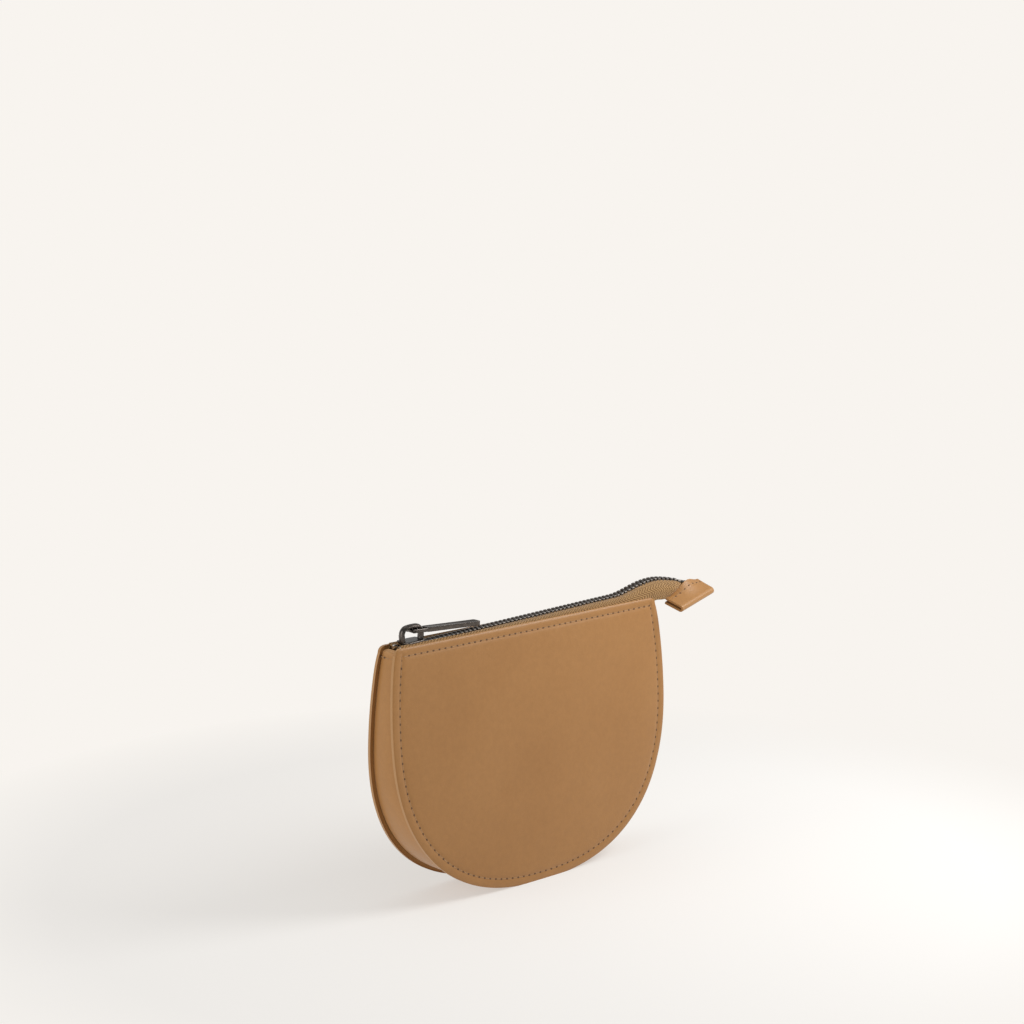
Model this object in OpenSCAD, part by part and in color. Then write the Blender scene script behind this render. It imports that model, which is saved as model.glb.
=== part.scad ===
// Zippered half-moon pouch: two D-shaped leather panels stood on a gusset strip,
// closed along the straight top by a metal zip whose tail ends in a folded tab.
// Origin: middle of the flat the pouch stands on. X along the width, -Y is the
// front, +Z up.

/* [Body] */
// Widest width of the panels
pouch_width = 160; // [120:1:220]
// Height from the base to the panels' top edge
panel_height = 113.2; // [90:0.1:150]
// Height at which the panels are widest
widest_height = 75.4; // [50:0.1:100]
// Squareness of the round lower edge (2 is an ellipse)
curve_power = 2.36; // [2:0.01:3]
// Half height of the ellipse that shapes the sides above the widest line
shoulder_reach = 129.2; // [90:0.1:200]
// How far the round bottom settles flat where it stands
base_sink = 0.6; // [0.2:0.1:2]
// Depth over the panels at the base
depth_base = 27; // [16:0.5:40]
// Depth over the panels at the top edge
depth_top = 12; // [10:0.1:20]
// Thickness of the panel leather
panel_thick = 1.4; // [0.8:0.1:2.5]

/* [Gusset] */
// How far the gusset lies inside the panels' edge
gusset_recess = 1.8; // [0.5:0.1:4]
// Thickness of the gusset leather
gusset_thick = 1.2; // [0.8:0.1:2]
// Width of the seam allowance turned in behind each panel
flange_width = 5.2; // [4:0.1:9]
// Height at which the seam allowance is trimmed off below the zip tape
flange_top = 104; // [90:0.5:108]
// Height of the gusset's turned end
gusset_top = 111.8; // [105:0.1:113]
// Length of the hem turned down inside the gusset's ends
hem_length = 5.2; // [3:0.1:8]

/* [Lining] */
// Thickness of the lining cloth
lining_thick = 0.4; // [0.2:0.05:1]
// Room between the wall linings and the gusset's lining
lining_gap = 0.3; // [0.1:0.05:1]
// Height of the lining's top edge
lining_top = 103.8; // [80:0.5:110]

/* [Zip] */
// Height of the chain above the base at mid width
chain_height = 114; // [110:0.1:120]
// Rise of the chain towards the tail
chain_tilt = 1.58; // [0:0.01:4]
// Distance between teeth of one row
tooth_pitch = 2.4; // [1.5:0.1:4]
// Length of one tooth along the chain
tooth_length = 1.05; // [0.5:0.05:2]
// Half width of the closed chain
chain_half_width = 2.1; // [1.5:0.1:4]
// Height of a tooth's jaws
tooth_height = 2.2; // [1.2:0.1:4]
// Reach of a tooth's head past the chain's middle
head_reach = 0.5; // [0.2:0.1:1]
// Thickness of the woven tape
tape_thick = 0.6; // [0.3:0.05:1]
// Height of the tape's lower edge behind the panels
tape_low = 104.5; // [95:0.5:110]
// Where the sewn-in chain ends towards the tail
chain_end = 59.5; // [40:0.5:70]
// Where the tape starts beside the gusset's end
tape_start = -71.8; // [-75:0.1:-60]

/* [Slider] */
// Distance of the closed slider's middle from mid width
slider_place = -63; // [-66:0.1:-55]
// Length of the slider
slider_length = 11; // [8:0.1:14]
// Width of the slider
slider_width = 7.2; // [6:0.1:9]
// Thickness of the slider's plates
plate_thick = 1.0; // [0.6:0.1:1.5]
// Length of the arched bail
bail_length = 12.2; // [8:0.1:15]
// Height of the bail above the slider
bail_height = 6.6; // [4:0.1:9]
// Thickness of the bail's bar
bail_bar = 1.5; // [1:0.1:2.5]
// Width of the bail across the chain
bail_width = 2.0; // [1.2:0.1:3]

/* [Pull] */
// Distance from the pivot to the tip of the pull
pull_length = 37; // [20:0.5:60]
// Width of the pull
pull_width = 4.6; // [3:0.1:8]
// Thickness of the pull
pull_thick = 2.0; // [1:0.1:3]
// Clear length of the eye from the pivot
eye_reach = 7.2; // [6:0.1:10]
// Fall of the lying pull towards its tip
pull_fall = 3.2; // [0:0.1:8]

/* [Stitching] */
// Distance between stitches
stitch_pitch = 3.3; // [2:0.1:6]
// Length of one stitch
stitch_length = 2.3; // [1:0.1:4]
// Width of the thread
stitch_width = 0.6; // [0.3:0.05:1.2]
// Height of the thread over the leather
stitch_rise = 0.3; // [0.1:0.05:0.6]
// Distance of the round stitch row from the panel's edge
edge_margin = 3.9; // [2:0.1:8]
// Distance of the straight stitch row from the top edge
top_margin = 3.3; // [2:0.1:8]

/* [Tail] */
// Where the free tail starts
tail_start = 62; // [60:0.5:64]
// Height of the free tail's start above the base
tail_rise = 117.2; // [116.8:0.1:119]
// Width of each tape of the tail
tail_tape_width = 5; // [3:0.1:12]
// Slope of the tail's tapes off the chain
tail_slope = 48; // [20:1:70]
// Width of the folded end tab
tab_width = 26; // [15:0.5:35]
// Length of the folded end tab
tab_length = 10.5; // [8:0.5:25]
// Thickness of the tab's leather
tab_thick = 1.2; // [0.6:0.1:2]
// Gap between the tab's two layers
tab_gap = 1.2; // [0.8:0.1:3]

/* [Hidden] */
$fn = 48;

leather = [0.63, 0.44, 0.25];
gusset_tone = [0.66, 0.48, 0.30];
lining_tone = [0.36, 0.29, 0.22];
tape_tone = [0.72, 0.56, 0.35];
thread_tone = [0.60, 0.42, 0.24];
gunmetal = [0.25, 0.23, 0.22];

half_width = pouch_width / 2;
lean = atan((depth_base - depth_top) / 2 / panel_height);
stretch = 1 / cos(lean);
side_steps = 24;
low_steps = 34;
eps = 0.01;

// Outline of the panel seen from the front, from the top left corner round the
// bottom to the top right corner.
function shoulder_x(z) = half_width * sqrt(1 - pow((z - widest_height) / shoulder_reach, 2));
function bowl_x(a) = half_width * sign(cos(a)) * pow(abs(cos(a)), 2 / curve_power);
function bowl_z(a) = widest_height - (widest_height + base_sink) * pow(sin(a), 2 / curve_power);
left_side = [for (i = [0:side_steps - 1])
    let (z = panel_height + (widest_height - panel_height) * i / side_steps) [-shoulder_x(z), z]];
bowl = [for (i = [0:2 * low_steps]) let (a = 180 - 90 * i / low_steps) [bowl_x(a), bowl_z(a)]];
right_side = [for (i = [1:side_steps])
    let (z = widest_height + (panel_height - widest_height) * i / side_steps) [shoulder_x(z), z]];
raw_rim = concat(left_side, bowl, right_side);
last = len(raw_rim) - 1;

// The rim moved inwards; the recess fades out where the pouch stands.
function rim_way(i) = let (d = raw_rim[min(i + 1, last)] - raw_rim[max(i - 1, 0)]) d / norm(d);
function settle(p) = [p[0], max(p[1], 0)];
function rim_in(d) = [for (i = [0:last]) settle(raw_rim[i] + d * [-rim_way(i)[1], rim_way(i)[0]])];
foot_half = 15;
foot_fade = 30;
function foot_share(x) = min(max((abs(x) - foot_half) / foot_fade, 0), 1);
gusset_rim = [for (i = [0:last])
    settle(raw_rim[i] + gusset_recess * foot_share(raw_rim[i][0]) * [-rim_way(i)[1], rim_way(i)[0]])];
function web_in(d) = [for (i = [0:last])
    let (r = gusset_recess * foot_share(raw_rim[i][0])) settle_to(raw_rim[i]
        + (r + d) * [-rim_way(i)[1], rim_way(i)[0]], d)];
function settle_to(p, low) = [p[0], max(p[1], low)];

// Stitch places at an even pitch along the rim.
edge_row = rim_in(edge_margin);
function run_length(p, n) = n == 0 ? 0 : run_length(p, n - 1) + norm(p[n] - p[n - 1]);
edge_runs = [for (i = [0:last]) run_length(edge_row, i)];
edge_x = [for (i = [0:last]) [edge_runs[i], edge_row[i][0]]];
edge_z = [for (i = [0:last]) [edge_runs[i], edge_row[i][1]]];
edge_count = floor((edge_runs[last] - 2 * top_margin) / stitch_pitch);
top_half = shoulder_x(panel_height) - edge_margin;
top_count = floor(2 * top_half / stitch_pitch);

// Chain frame heights and the sewn-in tape's top edge.
function chain_z(x) = chain_height + x * tan(chain_tilt);
tooth_count = floor((chain_end - slider_place) / tooth_pitch);
open_teeth = 3;
split_shift = 0.6;
split_width = open_teeth * split_shift + 0.1;
ledge_reach = 4.15;
tape_edge = chain_half_width + 0.05;

// Slider: its plates clear the teeth, and the pull's pin hangs under the bail.
plate_clear = 0.2;
plate_low = tooth_height / 2 + plate_clear;
pin_radius = 0.8;
pivot_drop = 1.2;
pivot_height = plate_low + plate_thick + bail_height - bail_bar - pivot_drop;

// Tail chain: the points its straight lengths run between.
tail_points = [[tail_start, 0, tail_rise], [70, 0, 118.8], [80, 0, 119.6], [89, -0.3, 118.4]];
tail_lengths = len(tail_points) - 1;
tail_edge = tape_edge + tape_thick / 2 * sin(tail_slope);
tab_anchor = [95.4, -3.6, 114.2];
tab_turn = [20, -10, 9];
tongue_half = tab_width / 2 - 1;
tongue_deep = 7;
tongue_gap = 0.6;

module on_front_panel() {
    translate([0, -depth_base / 2, 0])
        rotate([-lean, 0, 0])
            children();
}

module on_back_panel() {
    mirror([0, 1, 0])
        on_front_panel()
            children();
}

module on_chain() {
    translate([0, 0, chain_height])
        rotate([0, -chain_tilt, 0])
            children();
}

module on_pull() {
    on_chain()
        translate([slider_place, 0, pivot_height])
            rotate([0, chain_tilt + pull_fall, 0])
                children();
}

module on_tail(i) {
    a = tail_points[i];
    b = tail_points[i + 1];
    d = b - a;
    translate(a)
        rotate([0, -atan2(d[2], norm([d[0], d[1]])), atan2(d[1], d[0])])
            children();
}

module on_tab() {
    translate(tab_anchor)
        rotate(tab_turn)
            children();
}

function tail_run(i) = norm(tail_points[i + 1] - tail_points[i]);

// A sheet whose outline lies in XZ, from y = near to y = far.
module sheet(outline, near, far) {
    translate([0, far, 0])
        rotate([90, 0, 0])
            linear_extrude(height = far - near)
                polygon(outline);
}

// The wedge between the two leaning walls, each moved inwards by d.
module between_walls(d) {
    low = depth_base / 2 - d * stretch;
    high = low - (panel_height + d) * tan(lean);
    rotate([90, 0, 90])
        translate([0, 0, -pouch_width])
            linear_extrude(height = 2 * pouch_width)
                polygon([[-low, 0], [low, 0], [high, panel_height + d], [-high, panel_height + d]]);
}

module panel_sheet() {
    sheet([for (p = rim_in(0)) [p[0], p[1] * stretch]], 0, panel_thick);
}

module front_panel() {
    color(leather)
        on_front_panel()
            panel_sheet();
}

module back_panel() {
    color(leather)
        on_back_panel()
            panel_sheet();
}

module rim_strip(outer, inner, top) {
    intersection() {
        sheet(concat(outer, [for (i = [last:-1:0]) inner[i]]), -depth_base, depth_base);
        translate([-pouch_width, -depth_base, 0])
            cube([2 * pouch_width, 2 * depth_base, top]);
    }
}

module gusset() {
    flange_deep = panel_thick + gusset_thick;
    color(gusset_tone) {
        intersection() {
            rim_strip(gusset_rim, web_in(gusset_thick), gusset_top);
            between_walls(panel_thick);
        }
        difference() {
            intersection() {
                rim_strip(web_in(gusset_thick - eps), web_in(gusset_thick + flange_width), flange_top);
                between_walls(panel_thick);
            }
            between_walls(flange_deep);
        }
        intersection() {
            rim_strip(web_in(gusset_thick - eps), web_in(2 * gusset_thick), gusset_top);
            between_walls(flange_deep);
            translate([-pouch_width, -depth_base, gusset_top - hem_length])
                cube([2 * pouch_width, 2 * depth_base, hem_length]);
        }
    }
}

module lining_sheet() {
    near = panel_thick + gusset_thick;
    side = gusset_thick + lining_thick + lining_gap;
    intersection() {
        sheet([for (p = web_in(side)) [p[0], p[1] * stretch]], near, near + lining_thick);
        translate([-pouch_width, -depth_base, 0])
            cube([2 * pouch_width, 2 * depth_base, lining_top]);
    }
}

module front_lining() {
    color(lining_tone)
        on_front_panel()
            lining_sheet();
}

module back_lining() {
    color(lining_tone)
        on_back_panel()
            lining_sheet();
}

module gusset_lining() {
    color(lining_tone)
        intersection() {
            rim_strip(web_in(gusset_thick), web_in(gusset_thick + lining_thick), lining_top);
            between_walls(panel_thick + gusset_thick);
        }
}

module tape_half() {
    on_front_panel()
        sheet([[tape_start, tape_low * stretch], [chain_end, tape_low * stretch],
            [chain_end, (chain_z(chain_end) + tape_thick / 2) * stretch],
            [tape_start, (chain_z(tape_start) + tape_thick / 2) * stretch]],
            panel_thick, panel_thick + tape_thick);
    on_chain()
        translate([tape_start, -ledge_reach, -tape_thick / 2])
            cube([chain_end - tape_start, ledge_reach - tape_edge, tape_thick]);
}

module front_zip_tape() {
    color(tape_tone)
        difference() {
            tape_half();
            split_room();
        }
}

module back_zip_tape() {
    color(tape_tone)
        mirror([0, 1, 0])
            difference() {
                tape_half();
                split_room();
            }
}

// Room left in the tape's edge where the rows part inside the slider.
module split_room() {
    on_chain()
        translate([tape_start - 1, -tape_edge - split_width, -tooth_height / 2])
            cube([slider_place - tape_start + 1, split_width + 1, tooth_height]);
}

module tooth() {
    jaw = chain_half_width - head_reach;
    head_height = 0.6 * tooth_height;
    translate([0, -chain_half_width, -tooth_height / 2])
        cube([tooth_length, jaw, tooth_height]);
    translate([0, -chain_half_width + jaw - eps, -head_height / 2])
        cube([tooth_length, 2 * head_reach + eps, head_height]);
}

module teeth_row(offset) {
    on_chain() {
        for (i = [0:tooth_count - 1])
            translate([slider_place + offset + i * tooth_pitch, 0, 0])
                tooth();
        for (i = [1:open_teeth])
            translate([slider_place + offset - i * tooth_pitch, -i * split_shift, 0])
                tooth();
    }
}

module front_teeth() {
    color(gunmetal)
        teeth_row(0);
}

module back_teeth() {
    color(gunmetal)
        mirror([0, 1, 0])
            teeth_row(tooth_pitch / 2);
}

module top_stops() {
    stop_size = [1.3, 1.8, 2.0];
    clear = 0.1;
    middle = tape_edge + split_width - stop_size[1] / 2;
    color(gunmetal)
        for (side = [-1, 1])
            on_chain()
                translate([tape_start + clear, side * middle - stop_size[1] / 2, -stop_size[2] / 2])
                    cube(stop_size);
}

module edge_stitches() {
    for (i = [0:edge_count]) {
        s = top_margin + i * stitch_pitch;
        a = [lookup(s, edge_x), lookup(s, edge_z)];
        b = [lookup(s + 1, edge_x), lookup(s + 1, edge_z)];
        translate([a[0], -stitch_rise, a[1] * stretch])
            rotate([0, -atan2(b[1] - a[1], b[0] - a[0]), 0])
                translate([-stitch_length / 2, 0, -stitch_width / 2])
                    cube([stitch_length, stitch_rise, stitch_width]);
    }
}

module top_stitches() {
    for (i = [1:top_count - 1])
        translate([(i - top_count / 2) * stitch_pitch - stitch_length / 2, -stitch_rise,
            (panel_height - top_margin) * stretch - stitch_width / 2])
            cube([stitch_length, stitch_rise, stitch_width]);
}

module front_edge_stitching() {
    color(thread_tone)
        on_front_panel()
            edge_stitches();
}

module back_edge_stitching() {
    color(thread_tone)
        on_back_panel()
            edge_stitches();
}

module front_top_stitching() {
    color(thread_tone)
        on_front_panel()
            top_stitches();
}

module back_top_stitching() {
    color(thread_tone)
        on_back_panel()
            top_stitches();
}

module gusset_hem_stitching() {
    hem_row = 3;
    hem_z = gusset_top - hem_row;
    face_clear = 0.06;
    face_x = shoulder_x(hem_z - stitch_width) - gusset_recess + face_clear;
    count = 3;
    color(thread_tone)
        for (side = [-1, 1])
            for (i = [0:count - 1])
                translate([side * (face_x + stitch_rise / 2), (i - 1) * stitch_pitch, hem_z])
                    cube([stitch_rise, stitch_length, stitch_width], center = true);
}

module slider_plate() {
    mouth = slider_width / 2;
    waist = mouth - 0.5;
    half = slider_length / 2;
    nose = 1.4;
    heel = 0.8;
    upper = [[-half, mouth - nose], [-half + nose, mouth], [0, mouth],
        [half - heel, waist], [half, waist - heel]];
    lower = [for (i = [len(upper) - 1:-1:0]) [upper[i][0], -upper[i][1]]];
    linear_extrude(height = plate_thick)
        polygon(concat(upper, lower));
}

module slider_body() {
    rail_size = [4.5, 0.7];
    rail_start = 0.1;
    rail_side = slider_width / 2 - 0.5 - rail_size[1] / 2;
    slot = tape_thick / 2 + plate_clear;
    post_place = -slider_length / 2 + 1.1;
    post_radius = 0.55;
    color(gunmetal)
        on_chain()
            translate([slider_place, 0, 0]) {
                translate([0, 0, plate_low])
                    slider_plate();
                translate([0, 0, -plate_low - plate_thick])
                    slider_plate();
                for (side = [-1, 1])
                    for (up = [0, 1])
                        mirror([0, 0, up])
                            translate([rail_start, side * rail_side - rail_size[1] / 2, slot])
                                cube([rail_size[0], rail_size[1], plate_low - slot + eps]);
                translate([post_place, 0, -plate_low - eps])
                    cylinder(h = 2 * plate_low + 2 * eps, r = post_radius);
            }
}

module arch(length, height, corner) {
    translate([-length / 2, 0])
        square([length, height - corner]);
    translate([-length / 2 + corner, 0])
        square([length - 2 * corner, height]);
    for (side = [-1, 1])
        translate([side * (length / 2 - corner), height - corner])
            circle(r = corner);
}

module slider_bail() {
    corner = 3.2;
    color(gunmetal)
        on_chain()
            translate([slider_place, bail_width / 2, plate_low + plate_thick])
                rotate([90, 0, 0])
                    linear_extrude(height = bail_width)
                        difference() {
                            arch(bail_length, bail_height, corner);
                            translate([0, -eps])
                                arch(bail_length - 2 * bail_bar, bail_height - bail_bar, corner - bail_bar);
                        }
}

module pull_eye() {
    arm_clear = 0.3;
    arm_thick = (pull_width - bail_width) / 2 - arm_clear;
    color(gunmetal)
        on_pull() {
            translate([0, pull_width / 2, 0])
                rotate([90, 0, 0])
                    cylinder(h = pull_width, r = pin_radius);
            for (side = [-1, 1])
                translate([0, side * (pull_width - arm_thick) / 2 - arm_thick / 2, -pin_radius])
                    cube([eye_reach, arm_thick, 2 * pin_radius]);
        }
}

module pull_bar() {
    color(gunmetal)
        on_pull()
            translate([eye_reach, 0, -pull_thick / 2]) {
                translate([0, -pull_width / 2, 0])
                    cube([pull_length - eye_reach - pull_width / 2, pull_width, pull_thick]);
                translate([pull_length - eye_reach - pull_width / 2, 0, 0])
                    cylinder(h = pull_thick, r = pull_width / 2);
            }
}

// A tail tape as one loft: down one side of the chain, then turned flat between
// the tab's layers. Each station is inner top, outer top, outer low, inner low.
function turn_x(p, a) = [p[0], p[1] * cos(a) - p[2] * sin(a), p[1] * sin(a) + p[2] * cos(a)];
function turn_y(p, a) = [p[0] * cos(a) + p[2] * sin(a), p[1], p[2] * cos(a) - p[0] * sin(a)];
function turn_z(p, a) = [p[0] * cos(a) - p[1] * sin(a), p[0] * sin(a) + p[1] * cos(a), p[2]];
function tab_point(p) = tab_anchor + turn_z(turn_y(turn_x(p, tab_turn[0]), tab_turn[1]), tab_turn[2]);
function slope_point(at, side, out, up) = at
    + [0, side * (tail_edge + out * cos(tail_slope) + up * sin(tail_slope)),
        up * cos(tail_slope) - out * sin(tail_slope)];
function section(in_top, out_top, out_low, in_low) = [in_top, out_top, out_low, in_low];
function slope_section(at, side) = let (h = tape_thick / 2, w = tail_tape_width) section(
    slope_point(at, side, 0, h), slope_point(at, side, w, h),
    slope_point(at, side, w, -h), slope_point(at, side, 0, -h));
function tab_section(side, y) = let (h = tape_thick / 2) section(
    tab_point([side * tongue_gap, y, h]), tab_point([side * tongue_half, y, h]),
    tab_point([side * tongue_half, y, -h]), tab_point([side * tongue_gap, y, -h]));
function tail_sections(side) = concat(
    [for (at = tail_points) slope_section(at, side)],
    [tab_section(side, 0.5), tab_section(side, -tongue_deep)]);

module tail_tape(side) {
    sections = tail_sections(side);
    ends = len(sections) - 1;
    corners = [for (q = sections) for (c = q) c];
    walls = [for (k = [0:ends - 1]) for (j = [0:3]) let (n = (j + 1) % 4)
        each [[4 * k + j, 4 * k + n, 4 * k + 4 + n], [4 * k + j, 4 * k + 4 + n, 4 * k + 4 + j]]];
    caps = [[2, 1, 0], [3, 2, 0], [4 * ends, 4 * ends + 1, 4 * ends + 2],
        [4 * ends, 4 * ends + 2, 4 * ends + 3]];
    faces = concat(walls, caps);
    polyhedron(corners, side < 0 ? faces : [for (f = faces) [f[2], f[1], f[0]]]);
}

module tail_tape_front() {
    color(tape_tone)
        tail_tape(-1);
}

module tail_tape_back() {
    color(tape_tone)
        tail_tape(1);
}

module tail_teeth() {
    color(gunmetal)
        for (i = [0:tail_lengths - 1])
            on_tail(i)
                for (k = [0:i == tail_lengths - 1 ? 0 : floor(tail_run(i) / tooth_pitch) - 1])
                    translate([0.5 + k * tooth_pitch, 0, 0]) {
                        tooth();
                        translate([tooth_pitch / 2, 0, 0])
                            mirror([0, 1, 0])
                                tooth();
                    }
}

module bottom_stop() {
    stop_size = [2.2, 4.0, 1.8];
    color(gunmetal)
        on_tail(tail_lengths - 1)
            translate([1.5 * tooth_pitch, -stop_size[1] / 2, -stop_size[2] / 2])
                cube(stop_size);
}

module end_tab() {
    thick = 2 * tab_thick + tab_gap;
    color(leather)
        on_tab()
            difference() {
                translate([-tab_width / 2, -tab_length, -thick / 2])
                    cube([tab_width, tab_length, thick]);
                translate([-tab_width / 2 - 1, -tab_length + tab_thick, -tab_gap / 2])
                    cube([tab_width + 2, tab_length, tab_gap]);
            }
}

module end_tab_stitching() {
    top = tab_thick + tab_gap / 2;
    row_place = -2.6;
    end_room = 4;
    count = floor((tab_width - end_room) / stitch_pitch);
    color(thread_tone)
        on_tab()
            for (i = [0:count])
                translate([(i - count / 2) * stitch_pitch - stitch_length / 2, row_place, top])
                    cube([stitch_length, stitch_width, stitch_rise]);
}

front_panel();
back_panel();
gusset();
front_lining();
back_lining();
gusset_lining();
front_zip_tape();
back_zip_tape();
front_teeth();
back_teeth();
top_stops();
front_edge_stitching();
back_edge_stitching();
front_top_stitching();
back_top_stitching();
gusset_hem_stitching();
slider_body();
slider_bail();
pull_eye();
pull_bar();
tail_tape_front();
tail_tape_back();
tail_teeth();
bottom_stop();
end_tab();
end_tab_stitching();
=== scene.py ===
import math

import bpy
import numpy as np
from mathutils import Matrix, Vector, noise


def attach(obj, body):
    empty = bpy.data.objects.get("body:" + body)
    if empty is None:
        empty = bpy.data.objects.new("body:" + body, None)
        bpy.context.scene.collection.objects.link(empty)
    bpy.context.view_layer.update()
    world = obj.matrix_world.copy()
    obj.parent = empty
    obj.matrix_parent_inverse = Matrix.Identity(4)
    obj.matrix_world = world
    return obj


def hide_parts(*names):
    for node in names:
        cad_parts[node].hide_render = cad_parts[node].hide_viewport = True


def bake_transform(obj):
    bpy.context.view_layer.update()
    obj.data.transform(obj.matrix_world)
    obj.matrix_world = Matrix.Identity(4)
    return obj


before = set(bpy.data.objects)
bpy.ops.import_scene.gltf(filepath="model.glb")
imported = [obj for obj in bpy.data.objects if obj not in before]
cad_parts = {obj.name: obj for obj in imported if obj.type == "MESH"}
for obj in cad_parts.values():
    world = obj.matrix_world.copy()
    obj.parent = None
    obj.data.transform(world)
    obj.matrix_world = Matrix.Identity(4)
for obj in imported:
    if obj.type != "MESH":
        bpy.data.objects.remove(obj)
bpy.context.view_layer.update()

mm = 0.001

# the pouch's own sizes, in millimetres
pouch = {
    "halfWidth": 80.0, "height": 113.2, "widest": 75.4, "power": 2.36, "shoulder": 129.2,
    "sink": 0.6, "depthBase": 27.0, "depthTop": 12.0, "leather": 1.4, "edgeRow": 3.9, "topRow": 3.3,
    "stitchPitch": 3.3,
}
lean = math.atan((pouch["depthBase"] - pouch["depthTop"]) / 2 / pouch["height"])
chain = {"height": 114.0, "tilt": 1.58, "pitch": 2.4, "halfWidth": 2.3}


def deselectAll():
    if bpy.context.object and bpy.context.object.mode != "OBJECT":
        bpy.ops.object.mode_set(mode="OBJECT")
    bpy.ops.object.select_all(action="DESELECT")


def pick(obj):
    deselectAll()
    obj.select_set(True)
    bpy.context.view_layer.objects.active = obj


def useModifier(obj, name, kind, **settings):
    pick(obj)
    mod = obj.modifiers.new(name, kind)
    for key, value in settings.items():
        setattr(mod, key, value)
    bpy.ops.object.modifier_apply(modifier=name)


def smoothOver(obj, degrees=40):
    pick(obj)
    bpy.ops.object.shade_smooth_by_angle(angle=math.radians(degrees))


def outward(obj):
    pick(obj)
    bpy.ops.object.mode_set(mode="EDIT")
    bpy.ops.mesh.select_all(action="SELECT")
    bpy.ops.mesh.remove_doubles(threshold=0.000002)
    bpy.ops.mesh.normals_make_consistent(inside=False)
    bpy.ops.object.mode_set(mode="OBJECT")


def joinAll(parts, name):
    deselectAll()
    for part in parts:
        part.select_set(True)
    bpy.context.view_layer.objects.active = parts[0]
    bpy.ops.object.join()
    whole = bpy.context.view_layer.objects.active
    whole.name = name
    whole.data.name = name
    return whole


def copyTo(source, matrix):
    twin = source.copy()
    twin.data = source.data.copy()
    bpy.context.collection.objects.link(twin)
    twin.data.transform(matrix)
    return twin


def shift(x, y, z):
    return Matrix.Translation((x * mm, y * mm, z * mm))


def sized(size):
    return Matrix.Diagonal((*[s * mm for s in size], 1))


def makeBox(size, centre, bevel):
    deselectAll()
    bpy.ops.mesh.primitive_cube_add(size=1, location=(0, 0, 0))
    part = bpy.context.object
    part.data.transform(shift(*centre) @ sized(size))
    useModifier(part, "soften", "BEVEL", width=bevel * mm, segments=3)
    return part


def makeRod(sides, radius, length):
    deselectAll()
    bpy.ops.mesh.primitive_cylinder_add(vertices=sides, radius=radius * mm, depth=length * mm,
        location=(0, 0, 0))
    return bpy.context.object


def openOn(obj, kind, test):
    # opens the mesh for editing with only the faces or edges that pass the test selected
    pick(obj)
    bpy.ops.object.mode_set(mode="EDIT")
    bpy.ops.mesh.select_all(action="DESELECT")
    bpy.ops.mesh.select_mode(type=kind)
    bpy.ops.object.mode_set(mode="OBJECT")
    for item in obj.data.polygons if kind == "FACE" else obj.data.edges:
        item.select = test(item)
    bpy.ops.object.mode_set(mode="EDIT")


def gridPiece(name, across, along, place):
    # a flat grid, shaped point by point; place(a, b) runs over 0..1 both ways
    deselectAll()
    bpy.ops.mesh.primitive_grid_add(x_subdivisions=across, y_subdivisions=along, size=2,
        location=(0, 0, 0))
    obj = bpy.context.object
    obj.name = name
    obj.data.name = name
    uv = obj.data.uv_layers.active.data
    for loop in obj.data.loops:
        co = obj.data.vertices[loop.vertex_index].co
        uv[loop.index].uv = ((co.x + 1) / 2, (co.y + 1) / 2)
    for vert in obj.data.vertices:
        vert.co = Vector(place((vert.co.x + 1) / 2, (vert.co.y + 1) / 2)) * mm
    return obj


# the outline
def shoulderX(z):
    return pouch["halfWidth"] * math.sqrt(1 - ((z - pouch["widest"]) / pouch["shoulder"]) ** 2)


def bowlPoint(a):
    c, s = math.cos(a), math.sin(a)
    x = pouch["halfWidth"] * math.copysign(abs(c) ** (2 / pouch["power"]), c)
    z = pouch["widest"] - (pouch["widest"] + pouch["sink"]) * max(s, 0) ** (2 / pouch["power"])
    return x, z


def rimPoints(steps=400):
    top, wide = pouch["height"], pouch["widest"]
    heights = [top + (wide - top) * i / 120 for i in range(120)]
    left = [(-shoulderX(z), z) for z in heights]
    bowl = [bowlPoint(math.pi * (1 - i / (2 * steps))) for i in range(2 * steps + 1)]
    right = [(-x, z) for x, z in reversed(left)]
    return np.array(left + bowl + right)


rim = rimPoints()
rimWay = np.gradient(rim, axis=0)
rimWay /= np.linalg.norm(rimWay, axis=1)[:, None]
rimIn = np.stack([-rimWay[:, 1], rimWay[:, 0]], axis=1)


def insetRim(distance):
    inner = rim + rimIn * (np.asarray(distance)[:, None] if np.ndim(distance) else distance)
    inner[:, 1] = np.maximum(inner[:, 1], 0)
    return inner


def evenRow(points, pitch, skip=0.0):
    runs = np.concatenate([[0], np.cumsum(np.linalg.norm(np.diff(points, axis=0), axis=1))])
    count = int((runs[-1] - 2 * skip) / pitch)
    at = skip + (runs[-1] - 2 * skip - count * pitch) / 2 + np.arange(count + 1) * pitch
    return np.stack([np.interp(at, runs, points[:, 0]), np.interp(at, runs, points[:, 1])], axis=1)


def halfWidthAt(z):
    if z >= pouch["widest"]:
        return shoulderX(z)
    s = ((pouch["widest"] - z) / (pouch["widest"] + pouch["sink"])) ** (pouch["power"] / 2)
    return pouch["halfWidth"] * math.sqrt(max(1 - s * s, 0)) ** (2 / pouch["power"])


def wallY(z):
    return pouch["depthBase"] / 2 - z * math.tan(lean)


def rowHeights(count, low, high):
    # heights from the base to the top, close together at both ends
    share = (pouch["widest"] - low) / (pouch["widest"] + pouch["sink"])
    floorAngle = math.asin(share ** (pouch["power"] / 2))
    lower = int(count * 0.64)
    upper = count - lower
    heights = [bowlPoint(floorAngle * (1 - i / lower))[1] for i in range(lower)]
    for i in range(upper + 1):
        heights.append(pouch["widest"] + (high - pouch["widest"]) * math.sin(math.pi / 2 * i / upper))
    return heights


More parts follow.
